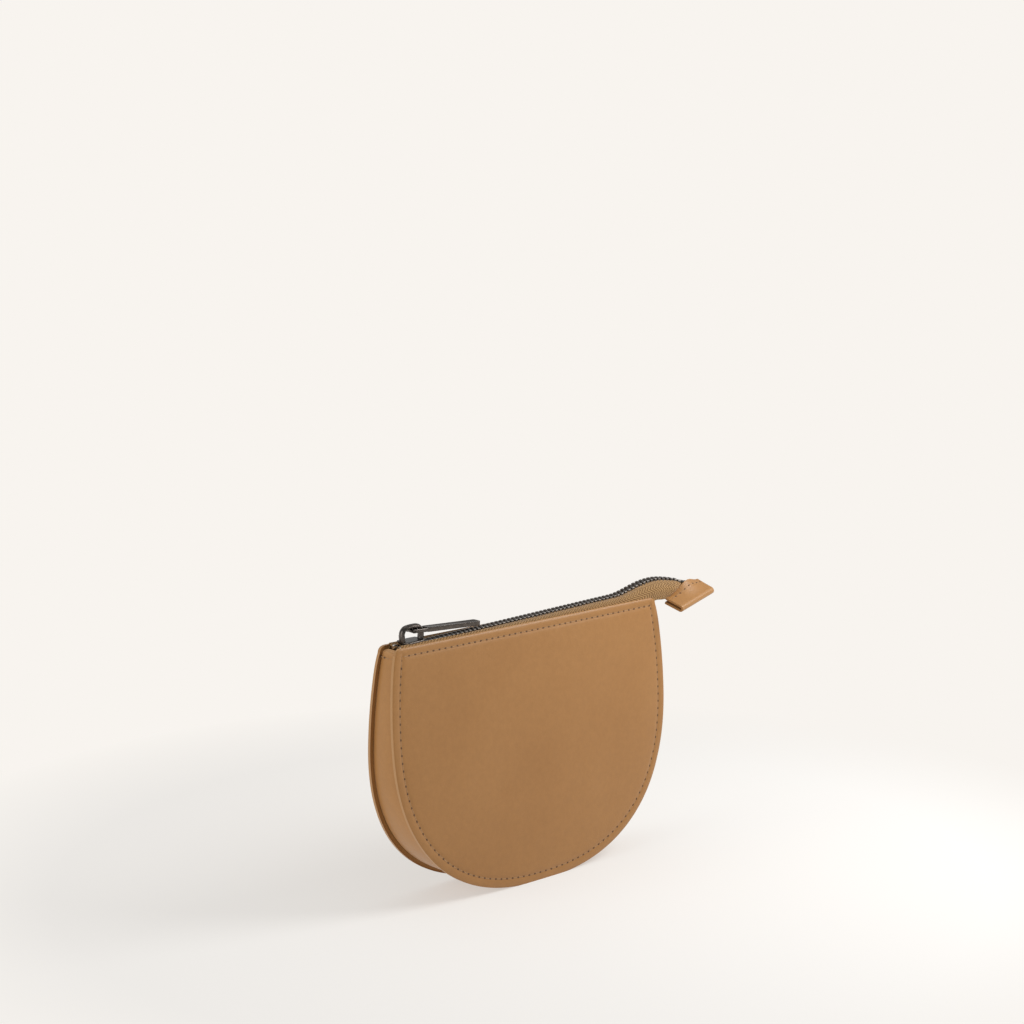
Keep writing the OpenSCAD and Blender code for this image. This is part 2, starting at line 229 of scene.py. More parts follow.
# shared shader effects
def newGroup(name, inputs, outputs):
    group = bpy.data.node_groups.new(name, "ShaderNodeTree")
    for label, kind, value in inputs:
        socket = group.interface.new_socket(name=label, in_out="INPUT", socket_type=kind)
        if value is not None:
            socket.default_value = value
    for label, kind in outputs:
        group.interface.new_socket(name=label, in_out="OUTPUT", socket_type=kind)
    return group, group.nodes.new("NodeGroupInput"), group.nodes.new("NodeGroupOutput")


def wire(tree, source, target):
    tree.links.new(source, target)


def mathNode(tree, operation, a, b=None, clamp=False):
    node = tree.nodes.new("ShaderNodeMath")
    node.operation = operation
    node.use_clamp = clamp
    for index, value in enumerate((a, b)):
        if value is None:
            continue
        if isinstance(value, (int, float)):
            node.inputs[index].default_value = value
        else:
            wire(tree, value, node.inputs[index])
    return node.outputs[0]


def rampNode(tree, factor, stops):
    node = tree.nodes.new("ShaderNodeValToRGB")
    while len(node.color_ramp.elements) < len(stops):
        node.color_ramp.elements.new(0.5)
    for element, (place, color) in zip(node.color_ramp.elements, stops):
        element.position = place
        element.color = (*color, 1)
    wire(tree, factor, node.inputs["Fac"])
    return node.outputs["Color"]


def mixColor(tree, factor, a, b, blend="MIX"):
    node = tree.nodes.new("ShaderNodeMix")
    node.data_type = "RGBA"
    node.blend_type = blend
    for index, value in ((0, factor), (6, a), (7, b)):
        if isinstance(value, (int, float)):
            node.inputs[index].default_value = value
        elif isinstance(value, tuple):
            node.inputs[index].default_value = (*value, 1)
        else:
            wire(tree, value, node.inputs[index])
    return node.outputs[2]


def noiseNode(tree, vector, scale, detail=2.0, rough=0.5):
    node = tree.nodes.new("ShaderNodeTexNoise")
    node.inputs["Scale"].default_value = scale
    node.inputs["Detail"].default_value = detail
    node.inputs["Roughness"].default_value = rough
    wire(tree, vector, node.inputs["Vector"])
    return node.outputs["Fac"]


def grainGroup():
    # fine pebbled grain of smooth leather: a height and a pore mask
    group, start, end = newGroup("leatherGrain",
        [("Vector", "NodeSocketVector", None), ("Scale", "NodeSocketFloat", 900.0)],
        [("Height", "NodeSocketFloat"), ("Pores", "NodeSocketFloat")])
    cells = group.nodes.new("ShaderNodeTexVoronoi")
    cells.feature = "DISTANCE_TO_EDGE"
    wire(group, start.outputs["Vector"], cells.inputs["Vector"])
    wire(group, start.outputs["Scale"], cells.inputs["Scale"])
    fine = noiseNode(group, start.outputs["Vector"], 2600.0, 3.0, 0.6)
    edge = mathNode(group, "MULTIPLY", cells.outputs["Distance"], 2.2, True)
    height = mathNode(group, "ADD", edge, mathNode(group, "MULTIPLY", fine, 0.6))
    wire(group, height, end.inputs["Height"])
    wire(group, mathNode(group, "SUBTRACT", 1.0, edge, True), end.inputs["Pores"])
    return group


def toneGroup():
    # slow clouding and small flecks, shared by every surface
    group, start, end = newGroup("slowTone", [("Vector", "NodeSocketVector", None)],
        [("Cloud", "NodeSocketFloat"), ("Fleck", "NodeSocketFloat")])
    broad = noiseNode(group, start.outputs["Vector"], 26.0, 3.0, 0.55)
    small = noiseNode(group, start.outputs["Vector"], 420.0, 4.0, 0.65)
    wire(group, broad, end.inputs["Cloud"])
    wire(group, small, end.inputs["Fleck"])
    return group


def weaveGroup():
    # diagonal ribs that change direction at every band, read from the strip's UV in millimetres
    group, start, end = newGroup("herringbone",
        [("Vector", "NodeSocketVector", None), ("Rib", "NodeSocketFloat", 0.62),
         ("Band", "NodeSocketFloat", 2.6)],
        [("Height", "NodeSocketFloat"), ("Shade", "NodeSocketFloat")])
    parts = group.nodes.new("ShaderNodeSeparateXYZ")
    wire(group, start.outputs["Vector"], parts.inputs[0])
    across, along = parts.outputs[1], parts.outputs[0]
    band = mathNode(group, "DIVIDE", across, start.outputs["Band"])
    zig = mathNode(group, "PINGPONG", band, 1.0)
    ribs = mathNode(group, "ADD", mathNode(group, "DIVIDE", along, start.outputs["Rib"]),
        mathNode(group, "MULTIPLY", zig, 1.3))
    wave = mathNode(group, "SINE", mathNode(group, "MULTIPLY", ribs, 2 * math.pi))
    turns = mathNode(group, "DIVIDE", across, 0.42)
    yarn = mathNode(group, "SINE", mathNode(group, "MULTIPLY", turns, 2 * math.pi))
    both = mathNode(group, "ADD", mathNode(group, "MULTIPLY", wave, 0.7),
        mathNode(group, "MULTIPLY", yarn, 0.3))
    height = mathNode(group, "ADD", mathNode(group, "MULTIPLY", both, 0.5), 0.5)
    wire(group, height, end.inputs["Height"])
    shade = mathNode(group, "POWER", mathNode(group, "MAXIMUM", height, 0.0), 1.5)
    wire(group, shade, end.inputs["Shade"])
    return group


grain = grainGroup()
slowTone = toneGroup()
herringbone = weaveGroup()


def startMaterial(name):
    mat = bpy.data.materials.new(name)
    mat.use_nodes = True
    tree = mat.node_tree
    shader = next(n for n in tree.nodes if n.type == "BSDF_PRINCIPLED")
    coords = tree.nodes.new("ShaderNodeTexCoord")
    return mat, tree, shader, coords


def placeGroup(tree, group, vector, **values):
    node = tree.nodes.new("ShaderNodeGroup")
    node.node_tree = group
    wire(tree, vector, node.inputs["Vector"])
    for label, value in values.items():
        node.inputs[label].default_value = value
    return node


def bumpNode(tree, height, strength, distance, before=None):
    node = tree.nodes.new("ShaderNodeBump")
    node.inputs["Strength"].default_value = strength
    node.inputs["Distance"].default_value = distance
    wire(tree, height, node.inputs["Height"])
    if before is not None:
        wire(tree, before, node.inputs["Normal"])
    return node.outputs["Normal"]


def edgeMask(tree, above, gain):
    # picks out the sharp convex edges
    geo = tree.nodes.new("ShaderNodeNewGeometry")
    past = mathNode(tree, "SUBTRACT", geo.outputs["Pointiness"], above, True)
    return mathNode(tree, "MULTIPLY", past, gain, True)


def setRough(tree, shader, tone, spread, low):
    amount = mathNode(tree, "MULTIPLY", tone.outputs["Fleck"], spread)
    wire(tree, mathNode(tree, "ADD", amount, low), shader.inputs["Roughness"])


leatherLook = {
    "base": (0.352, 0.168, 0.050), "pale": (0.405, 0.204, 0.068), "deep": (0.290, 0.130, 0.034),
    "sharpEdgeTone": (0.500, 0.290, 0.130), "rough": 0.44, "grain": 850.0,
}


def makeLeather(name, shade=1.0, edgeGain=1.0):
    mat, tree, shader, coords = startMaterial(name)
    # shade scales every colour; above 1 it paints light into a lighter copy of the leather, as on the
    # gusset
    look = {key: tuple(c * shade for c in value) if isinstance(value, tuple) else value
            for key, value in leatherLook.items()}
    tone = placeGroup(tree, slowTone, coords.outputs["Object"])
    grains = placeGroup(tree, grain, coords.outputs["Object"], Scale=look["grain"])
    color = rampNode(tree, tone.outputs["Cloud"],
        [(0.3, look["deep"]), (0.5, look["base"]), (0.72, look["pale"])])
    color = mixColor(tree, 0.75, color, look["base"])
    fleck = rampNode(tree, tone.outputs["Fleck"],
        [(0.35, (0.90, 0.89, 0.87)), (0.65, (1.05, 1.05, 1.05))])
    color = mixColor(tree, 0.5, color, fleck, "MULTIPLY")
    pore = mathNode(tree, "MULTIPLY", grains.outputs["Pores"], 0.10)
    color = mixColor(tree, pore, color, look["deep"])
    # lighter colour on the sharp convex edges
    sharp = edgeMask(tree, 0.515, 9.0 * edgeGain)
    color = mixColor(tree, mathNode(tree, "MULTIPLY", sharp, 0.7), color, look["sharpEdgeTone"])
    wire(tree, color, shader.inputs["Base Color"])
    setRough(tree, shader, tone, 0.18, look["rough"] - 0.09)
    shader.inputs["Specular IOR Level"].default_value = 0.36
    shader.inputs["Sheen Weight"].default_value = 0.06
    fine = bumpNode(tree, grains.outputs["Height"], 0.16, 0.00012)
    wire(tree, bumpNode(tree, tone.outputs["Cloud"], 0.25, 0.0016, fine), shader.inputs["Normal"])
    return mat


def makeTapeCloth():
    look = {"light": (0.520, 0.315, 0.130), "dark": (0.190, 0.092, 0.028), "rough": 0.85}
    mat, tree, shader, coords = startMaterial("zipTapeWeave")
    weave = placeGroup(tree, herringbone, coords.outputs["UV"], Rib=1.7, Band=2.3)
    tone = placeGroup(tree, slowTone, coords.outputs["Object"])
    color = mixColor(tree, weave.outputs["Shade"], look["dark"], look["light"])
    fleck = rampNode(tree, tone.outputs["Fleck"],
        [(0.3, (0.86, 0.86, 0.86)), (0.7, (1.06, 1.06, 1.06))])
    wire(tree, mixColor(tree, 0.4, color, fleck, "MULTIPLY"), shader.inputs["Base Color"])
    setRough(tree, shader, tone, 0.1, look["rough"] - 0.05)
    shader.inputs["Sheen Weight"].default_value = 0.15
    shader.inputs["Specular IOR Level"].default_value = 0.25
    wire(tree, bumpNode(tree, weave.outputs["Height"], 0.8, 0.0004), shader.inputs["Normal"])
    return mat


def makeLining():
    mat, tree, shader, coords = startMaterial("liningCloth")
    weave = placeGroup(tree, herringbone, coords.outputs["UV"], Rib=0.5, Band=90.0)
    tone = placeGroup(tree, slowTone, coords.outputs["Object"])
    color = mixColor(tree, weave.outputs["Shade"], (0.075, 0.050, 0.032), (0.150, 0.105, 0.070))
    fleck = rampNode(tree, tone.outputs["Cloud"],
        [(0.3, (0.85, 0.85, 0.85)), (0.7, (1.1, 1.1, 1.1))])
    wire(tree, mixColor(tree, 0.7, color, fleck, "MULTIPLY"), shader.inputs["Base Color"])
    setRough(tree, shader, tone, 0.1, 0.8)
    shader.inputs["Sheen Weight"].default_value = 0.2
    wire(tree, bumpNode(tree, weave.outputs["Height"], 0.4, 0.00012), shader.inputs["Normal"])
    return mat


def makeMetal():
    look = {"dark": (0.045, 0.040, 0.035), "plain": (0.120, 0.098, 0.084),
            "edgeMetalTone": (0.46, 0.40, 0.34)}
    mat, tree, shader, coords = startMaterial("gunmetalPlating")
    tone = placeGroup(tree, slowTone, coords.outputs["Object"])
    color = rampNode(tree, tone.outputs["Fleck"], [(0.3, look["dark"]), (0.7, look["plain"])])
    # lighter colour on the sharp convex edges of the metal
    sharp = edgeMask(tree, 0.54, 5.0)
    color = mixColor(tree, mathNode(tree, "MULTIPLY", sharp, 0.25), color, look["edgeMetalTone"])
    wire(tree, color, shader.inputs["Base Color"])
    shader.inputs["Metallic"].default_value = 0.9
    setRough(tree, shader, tone, 0.10, 0.22)
    shader.inputs["Coat Weight"].default_value = 0.2
    shader.inputs["Coat Roughness"].default_value = 0.25
    wire(tree, bumpNode(tree, tone.outputs["Cloud"], 0.05, 0.0001), shader.inputs["Normal"])
    return mat


def makeBrightMetal():
    mat, tree, shader, coords = startMaterial("brightStopMetal")
    tone = placeGroup(tree, slowTone, coords.outputs["Object"])
    color = rampNode(tree, tone.outputs["Fleck"],
        [(0.3, (0.55, 0.53, 0.50)), (0.7, (0.75, 0.73, 0.70))])
    wire(tree, color, shader.inputs["Base Color"])
    shader.inputs["Metallic"].default_value = 1.0
    setRough(tree, shader, tone, 0.15, 0.18)
    return mat


def makeThread(name, tint):
    mat, tree, shader, coords = startMaterial(name)
    twist = tree.nodes.new("ShaderNodeTexWave")
    twist.bands_direction = "DIAGONAL"
    twist.inputs["Scale"].default_value = 900.0
    twist.inputs["Distortion"].default_value = 1.0
    wire(tree, coords.outputs["Object"], twist.inputs["Vector"])
    color = mixColor(tree, twist.outputs["Fac"], tuple(c * 0.72 for c in tint), tint)
    wire(tree, color, shader.inputs["Base Color"])
    tone = placeGroup(tree, slowTone, coords.outputs["Object"])
    setRough(tree, shader, tone, 0.1, 0.65)
    wire(tree, bumpNode(tree, twist.outputs["Fac"], 0.3, 0.0001), shader.inputs["Normal"])
    return mat


leather = makeLeather("tanLeather")
# the same tan leather made 1.12 times lighter: painted light on the gusset's sides
gussetLeatherPaintedLight = makeLeather("gussetLeatherPaintedLight", 1.12, 0.8)
tapeCloth = makeTapeCloth()
liningCloth = makeLining()
gunmetal = makeMetal()
brightMetal = makeBrightMetal()
thread = makeThread("tanThread", (0.40, 0.225, 0.10))
# dark brown for the discs at the needle holes: painted shade in the holes
paintedHoleShade = makeThread("paintedHoleShade", (0.125, 0.058, 0.022))
print("materials ready")


def coat(obj, *materials):
    obj.data.materials.clear()
    for mat in materials:
        obj.data.materials.append(mat)


# the two panels
panel = {
    "across": 132, "along": 112, "belly": 1.5, "bellyHalf": 74, "puff": 0.34, "puffWidth": 7.0,
    "groove": 0.28, "grooveWidth": 0.8, "rollOff": 0.42, "rollWidth": 0.55, "corner": 3.2,
    "cornerFade": 12, "wave": 0.35, "waveWidth": 12.0,
}


def gradual(d, width):
    return 1 - math.exp(-max(d, 0) / width)


rimStep = np.diff(rim, axis=0)
rimStepSquared = (rimStep * rimStep).sum(axis=1)


def nearRim(x, z):
    gap = np.array((x, z)) - rim[:-1]
    share = np.clip((gap * rimStep).sum(axis=1) / rimStepSquared, 0, 1)[:, None]
    gap = gap - rimStep * share
    return float(np.sqrt((gap * gap).sum(axis=1).min()))


def panelLift(x, z, seed):
    side = nearRim(x, z)
    top = pouch["height"] - z
    nearest = min(side, top)
    lift = -panel["rollOff"] * math.exp(-nearest / panel["rollWidth"])
    inner = min(side - pouch["edgeRow"], top - pouch["topRow"])
    lift += panel["puff"] * gradual(inner, panel["puffWidth"])
    groove, width = panel["groove"], panel["grooveWidth"]
    if top > 1.6:
        lift -= groove * math.exp(-((side - pouch["edgeRow"]) / width) ** 2)
    if side > pouch["edgeRow"] - 0.5:
        lift -= groove * math.exp(-((top - pouch["topRow"]) / width) ** 2)
    upright = math.sin(math.pi * min(max(z / pouch["height"], 0), 1))
    belly = max(0.0, 1 - (x / panel["bellyHalf"]) ** 2) * max(0.0, upright)
    lift += panel["belly"] * belly ** 0.8
    wave = noise.noise(Vector((x * 0.022, z * 0.022, seed)))
    return lift + panel["wave"] * wave * gradual(inner, panel["waveWidth"])


def cornerDrop(x, z):
    # rounds the two top corners, fading out below them
    past = abs(x) - (shoulderX(pouch["height"]) - panel["corner"])
    if past <= 0 or z < pouch["widest"]:
        return 0.0
    past = min(past, panel["corner"])
    drop = panel["corner"] - math.sqrt(max(panel["corner"] ** 2 - past ** 2, 0))
    return 0.8 * drop * max(1 - (pouch["height"] - z) / panel["cornerFade"], 0) ** 2


def makePanel(name, side, seed):
    heights = rowHeights(panel["along"], 0.0, pouch["height"])

    def place(a, b):
        row = b * panel["along"]
        low = min(int(row), panel["along"] - 1)
        z = heights[low] + (heights[low + 1] - heights[low]) * (row - low)
        x = halfWidthAt(z) * math.sin(math.pi / 2 * (2 * a - 1))
        lift = panelLift(x, z, seed)
        y = side * (wallY(z) + lift * math.cos(lean))
        return x, y, max(z - cornerDrop(x, z) + lift * math.sin(lean), 0.0) if z > 0.01 else 0.0

    obj = gridPiece(name, panel["across"], panel["along"], place)
    pick(obj)
    bpy.ops.object.mode_set(mode="EDIT")
    bpy.ops.mesh.select_all(action="SELECT")
    inwards = -side * pouch["leather"] / math.cos(lean) * mm
    bpy.ops.mesh.extrude_region_move(TRANSFORM_OT_translate={"value": (0, inwards, 0)})
    bpy.ops.mesh.select_all(action="SELECT")
    bpy.ops.mesh.normals_make_consistent(inside=False)
    bpy.ops.object.mode_set(mode="OBJECT")
    smoothOver(obj, 50)
    coat(obj, leather)
    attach(obj, "pouch")
    return obj


frontPanel = makePanel("frontPanel", -1, 3.1)
backPanel = makePanel("backPanel", 1, 8.7)
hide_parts("front_panel")
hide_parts("back_panel")
print("panels ready")

# the gusset
gusset = {
    "recess": 1.8, "thick": 1.1, "bulge": 0.7, "top": 111.8, "hem": 5.0, "fold": 1.15, "across": 20,
    "gap": 0.03, "stitchDrop": 3.0, "stitchPitch": 2.9,
}


def gussetPath(recess, top):
    share = np.clip((np.abs(rim[:, 0]) - 15) / 30, 0, 1)
    points = insetRim(recess * share)
    return points[points[:, 1] < top - gusset["fold"]]


def foldedEnds(points):
    # carries the strip over its top end and down inside as a hem
    def leg(end, sign):
        base = Vector((end[0], end[1]))
        way = Vector((0.12 * sign, 1)).normalized()
        inwards = Vector((-sign, 0))
        centre = base + inwards * gusset["fold"]
        over = [centre - inwards * gusset["fold"] * math.cos(a) + way * gusset["fold"] * math.sin(a)
                for a in np.linspace(0.25, math.pi, 9)]
        down = [over[-1] - way * d for d in np.linspace(0.8, gusset["hem"], 6)]
        return [(p.x, p.y) for p in over + down]
    left = leg(points[0], -1)
    right = leg(points[-1], 1)
    return np.array(left[::-1] + [tuple(p) for p in points] + right)


def stripAlong(name, path, inside, bulge, across, pitch=1.5):
    row = evenRow(path, pitch)
    count = len(row) - 1
    way = np.gradient(row, axis=0)
    way /= np.linalg.norm(way, axis=1)[:, None]

    def place(a, b):
        i = min(int(round(b * count)), count)
        x, z = row[i]
        t = 2 * a - 1
        swell = bulge * (1 - t * t) * min(max((z - 4) / 20, 0), 1)
        nx, nz = way[i][1], -way[i][0]
        half = wallY(z) - inside
        edge = 0.35 * math.exp(-(1 - abs(t)) * half / 0.5)
        return x + nx * (swell - edge), t * half, max(z + nz * (swell - edge), 0.0)

    return gridPiece(name, across, count, place)


def faceDown(obj):
    # turns the strip so that its underside faces down
    bottomFace = min(obj.data.polygons, key=lambda f: f.center.z)
    if bottomFace.normal.z > 0:
        obj.data.flip_normals()


gussetOuter = gussetPath(gusset["recess"], gusset["top"])
gussetStrip = stripAlong("gussetStrip", foldedEnds(gussetOuter),
    pouch["leather"] / math.cos(lean) + gusset["gap"], gusset["bulge"], gusset["across"])
faceDown(gussetStrip)
useModifier(gussetStrip, "wall", "SOLIDIFY", thickness=gusset["thick"] * mm, offset=-1)
smoothOver(gussetStrip, 50)
# the gusset wears the lighter copy of the tan leather, with painted light
coat(gussetStrip, gussetLeatherPaintedLight)
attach(gussetStrip, "pouch")
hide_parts("gusset")
print("gusset ready")

# lining
lining = {"gap": 2.9, "thick": 0.35, "inset": 3.6, "top": 104.0, "sag": 0.5}


def uvScale(obj, wide, high):
    for entry in obj.data.uv_layers.active.data:
        entry.uv = (entry.uv[0] * wide, entry.uv[1] * high)


def makeLiningSheet(name, side):
    def place(a, b):
        z = lining["inset"] + (lining["top"] - lining["inset"]) * math.sin(math.pi / 2 * b)
        x = max(halfWidthAt(z) - lining["inset"] - 0.6, 4) * (2 * a - 1)
        sag = lining["sag"] * noise.noise(Vector((x * 0.05, z * 0.05, side)))
        return x, side * (wallY(z) - lining["gap"] - 0.3 + min(sag, 0)), z

    obj = gridPiece(name, 60, 50, place)
    middle = obj.data.polygons[len(obj.data.polygons) // 2]
    if middle.normal.y * side < 0:
        obj.data.flip_normals()
    useModifier(obj, "cloth", "SOLIDIFY", thickness=lining["thick"] * mm, offset=-1)
    uvScale(obj, 150, 105)
    smoothOver(obj)
    coat(obj, liningCloth)
    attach(obj, "pouch")
    return obj


frontLining = makeLiningSheet("frontLining", -1)
backLining = makeLiningSheet("backLining", 1)
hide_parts("front_lining")
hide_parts("back_lining")
innerPath = gussetPath(gusset["recess"] + gusset["thick"] + 0.25, lining["top"])
innerPath[:, 1] = np.maximum(innerPath[:, 1], 1.6)
gussetLining = stripAlong("gussetLining", innerPath, lining["gap"] + 0.4, 0.2, 8, 2.5)
faceDown(gussetLining)
useModifier(gussetLining, "cloth", "SOLIDIFY", thickness=lining["thick"] * mm, offset=-1)
uvScale(gussetLining, 20, 330)
smoothOver(gussetLining)
coat(gussetLining, liningCloth)
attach(gussetLining, "pouch")
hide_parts("gusset_lining")
print("lining ready")

# stitching
stitch = {
    "length": 2.2, "width": 0.50, "endWidth": 0.45, "endReach": 1.12, "droop": 0.16, "hole": 0.58,
    "holeRise": 0.02, "holeShape": (1, 0.72, 0.22, 1), "stand": 0.04,
}


def makeStitch():
    # one lockstitch along X with a dark disc of painted shade for the needle hole at its end, on a
    # face whose outside is +Z
    body = makeRod(8, stitch["width"] / 2, stitch["length"])
    openOn(body, "FACE", lambda face: abs(face.normal.z) > 0.9)
    bpy.ops.mesh.extrude_region_move(TRANSFORM_OT_translate={"value": (0, 0, 0)})
    ends = (stitch["endWidth"], stitch["endWidth"], stitch["endReach"])
    bpy.ops.transform.resize(value=ends, center_override=(0, 0, 0))
    bpy.ops.object.mode_set(mode="OBJECT")
    body.data.transform(Matrix.Rotation(math.pi / 2, 4, "Y"))
    half = stitch["length"] / 2 * mm
    for vert in body.data.vertices:
        vert.co.z -= stitch["droop"] * mm * (vert.co.x / half) ** 2
    coat(body, thread)
    deselectAll()
    # a flattened dark disc: painted shade where the needle hole is
    bpy.ops.mesh.primitive_uv_sphere_add(segments=8, ring_count=5, radius=stitch["hole"] * mm,
        location=(0, 0, 0))
    hole = bpy.context.object
    hole.data.transform(shift(pouch["stitchPitch"] / 2, 0, stitch["holeRise"])
        @ Matrix.Diagonal(stitch["holeShape"]))
    coat(hole, paintedHoleShade)
    unit = joinAll([body, hole], "stitchUnit")
    smoothOver(unit)
    return unit


stitchUnit = makeStitch()


def sewRow(name, places):
    # places: (point, along, out) in mm
    parts = []
    for point, along, out in places:
        x = Vector(along).normalized()
        z = Vector(out).normalized()
        y = z.cross(x).normalized()
        z = x.cross(y)
        turn = Matrix((x, y, z)).transposed().to_4x4()
        parts.append(copyTo(stitchUnit, shift(*point) @ turn))
    return joinAll(parts, name)


def panelPoint(x, z, side, seed, stand=0.0):
    lift = panelLift(x, z, seed) + stand
    return Vector((x, side * (wallY(z) + lift * math.cos(lean)), z + lift * math.sin(lean)))


def panelRow(name, side, seed, points):
    places = []
    for i, (x, z) in enumerate(points):
        before = points[max(i - 1, 0)]
        after = points[min(i + 1, len(points) - 1)]
        way = panelPoint(*after, side, seed) - panelPoint(*before, side, seed)
        out = (0, side * math.cos(lean), math.sin(lean))
        places.append((panelPoint(x, z, side, seed, stitch["stand"]), way, out))
    row = sewRow(name, places)
    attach(row, "pouch")
    return row


edgePoints = evenRow(insetRim(pouch["edgeRow"]), pouch["stitchPitch"], 1.2)
topHalf = shoulderX(pouch["height"]) - pouch["edgeRow"] - 1.5
topPoints = [(x, pouch["height"] - pouch["topRow"])
             for x in np.arange(-topHalf, topHalf, pouch["stitchPitch"])]
for side, seed, word in ((-1, 3.1, "front"), (1, 8.7, "back")):
    row = panelRow(word + "EdgeStitching", side, seed, edgePoints)
    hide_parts(word + "_edge_stitching")
    row = panelRow(word + "TopStitching", side, seed, topPoints)
    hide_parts(word + "_top_stitching")

hemPlaces = []
hemZ = gusset["top"] - gusset["stitchDrop"]
for sign in (-1, 1):
    halfDepth = wallY(hemZ) - pouch["leather"]
    for i in range(3):
        y = (i - 1) * gusset["stitchPitch"]
        t = y / halfDepth
        x = sign * (shoulderX(hemZ) - gusset["recess"] + gusset["bulge"] * (1 - t * t) + 0.02)
        hemPlaces.append(((x, y, hemZ), (0, 1, 0), (sign, 0, 0.1)))
hemStitching = sewRow("gussetHemStitching", hemPlaces)
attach(hemStitching, "pouch")
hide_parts("gusset_hem_stitching")
print("stitching ready")

# end tab's form
tab = {
    "frontMouth": (82.8, -6.0, 110.6), "frontEnd": (84.2, -14.0, 108.0),
    "backEnd": (109.3, -10.0, 112.5), "backMouth": (107.9, -2.0, 115.1),
    "ridge": 3.4, "ridgeAt": 0.60, "ridgeWidth": 0.26, "gap": 0.55, "leather": 1.1,
    "across": 34, "along": 56, "foldShare": 0.12, "stitchAt": 0.3, "stitches": 7,
}


def tabSurface(u, v, layer):
    # layer runs from 1 (upper) to -1 (lower); v from the mouth to the fold
    a, b, c, e = (np.array(tab[k]) for k in ("frontMouth", "frontEnd", "backEnd", "backMouth"))
    flat = a * (1 - u) * (1 - v) + b * (1 - u) * v + c * u * v + e * u * (1 - v)
    out = np.cross(c - b, a - b)
    out /= np.linalg.norm(out)
    if out[2] < 0:
        out = -out
    crest = math.exp(-((u - tab["ridgeAt"]) / tab["ridgeWidth"]) ** 2)
    rise = tab["ridge"] * crest * (1 - v) ** 1.4
    apart = tab["gap"] + tab["leather"] / 2 + 0.5 * crest * (1 - v) ** 2
    flare = 0.5 * max(u - 0.86, 0) / 0.14 * (1 if layer < 0 else 0) * (1 - v)
    return flat + out * (rise + layer * apart + flare), out


# zip tape
# the chain's line, then the free tail up over the corner and round towards the front
chainPath = [
    (-71.8, 0, 112.02), (-40, 0, 112.9), (0, 0, 114.0), (40, 0, 115.1), (50, 0, 115.35),
    (57, 0, 115.7), (63, 0, 116.9), (70, 0, 118.6), (76, 0, 119.5), (82, -0.2, 119.7),
    (88, -1.0, 119.0), (93, -2.2, 117.9),
]
# each tape's lower edge at the same rows: along, height, and out past the wall
frontEdge = [
    (-71.8, 104.5, 0), (-40, 104.5, 0), (0, 104.5, 0), (40, 104.5, 0), (50, 104.7, 0),
    (59, 105.2, 0), (67, 107.3, 0), (73.6, 110.2, 0.1), (77.4, 111.7, 0.9), (80.3, 111.6, 1.5),
    (82.2, 111.6, 1.8), (83.2, 111.4, 1.9),
]
backEdge = [
    (-71.8, 104.5, 0), (-40, 104.5, 0), (0, 104.5, 0), (40, 104.5, 0), (50, 104.7, 0),
    (59, 105.2, 0), (67, 107.6, 0), (74.5, 110.6, 0.4), (81.0, 112.2, 1.3), (88.0, 113.3, 1.2),
    (95.0, 114.2, -0.4), (101.5, 115.0, -2.6),
]
tapeForm = {
    "wall": 0.34, "thick": 0.5, "across": 14, "along": 150, "width": 13.0, "samples": 600,
    "freeFrom": 58, "freeOver": 16,
}


def smoothRow(rows, t):
    # Catmull-Rom through the rows, t in row numbers
    i = min(int(t), len(rows) - 2)
    f = t - i
    p = [np.array(rows[min(max(i + k, 0), len(rows) - 1)], float) for k in (-1, 0, 1, 2)]
    return 0.5 * (2 * p[1] + (p[2] - p[0]) * f + (2 * p[0] - 5 * p[1] + 4 * p[2] - p[3]) * f * f
                  + (3 * p[1] - p[0] - 3 * p[2] + p[3]) * f ** 3)


def tapeWallY(z):
    return wallY(z) - pouch["leather"] / math.cos(lean) - tapeForm["wall"]


def tapeSection(row, side):
    # points across one tape, from under the teeth to its lower edge
    cx, cy, cz = chainPath[row]
    ex, ez, ey = (frontEdge if side < 0 else backEdge)[row]
    free = min(max((cx - tapeForm["freeFrom"]) / tapeForm["freeOver"], 0), 1)
    edge = np.array((ex, side * (tapeWallY(min(ez, 113)) + ey), ez))
    top = np.array((cx, cy + side * (1.0 - 0.7 * free), cz))
    lip = np.array((cx, cy + side * 2.9, cz - 0.12 - 0.35 * free))
    crown = pouch["height"] + 0.35 * (1 - free)
    lip[2] = max(lip[2], crown - 0.2)
    sewn = [top, lip, (cx, side * 4.0, max(cz - 0.5, crown)),
            (cx, side * (tapeWallY(cz - 2.0) - 0.02), cz - 2.0),
            (ex, side * tapeWallY((cz + ez) / 2), (cz + ez) / 2), edge]
    bow = np.array((0.0, side * 1.6, 0.9))
    bowed = [lip + (edge - lip) * f + bow * math.sin(math.pi * f) for f in (0.22, 0.45, 0.72)]
    loose = [top, lip] + bowed + [edge]
    return [np.array(s) * (1 - free) + np.array(l) * free for s, l in zip(sewn, loose)]


def tabbedSection(v, side):
    # the same points where the tape lies flat between the tab's layers
    reach = tab["ridgeAt"] - 0.05 if side < 0 else 0.94 - tab["ridgeAt"]
    return [tabSurface(tab["ridgeAt"] + side * reach * f, v, 0)[0]
            for f in (0.02, 0.2, 0.36, 0.55, 0.78, 1.0)]


def tapeSections(side):
    free = [tapeSection(row, side) for row in range(len(frontEdge))]
    return free + [tabbedSection(v, side) for v in (0.0, 0.55)]


chainPath.append(tuple(tabSurface(tab["ridgeAt"], 0.0, 0)[0]))


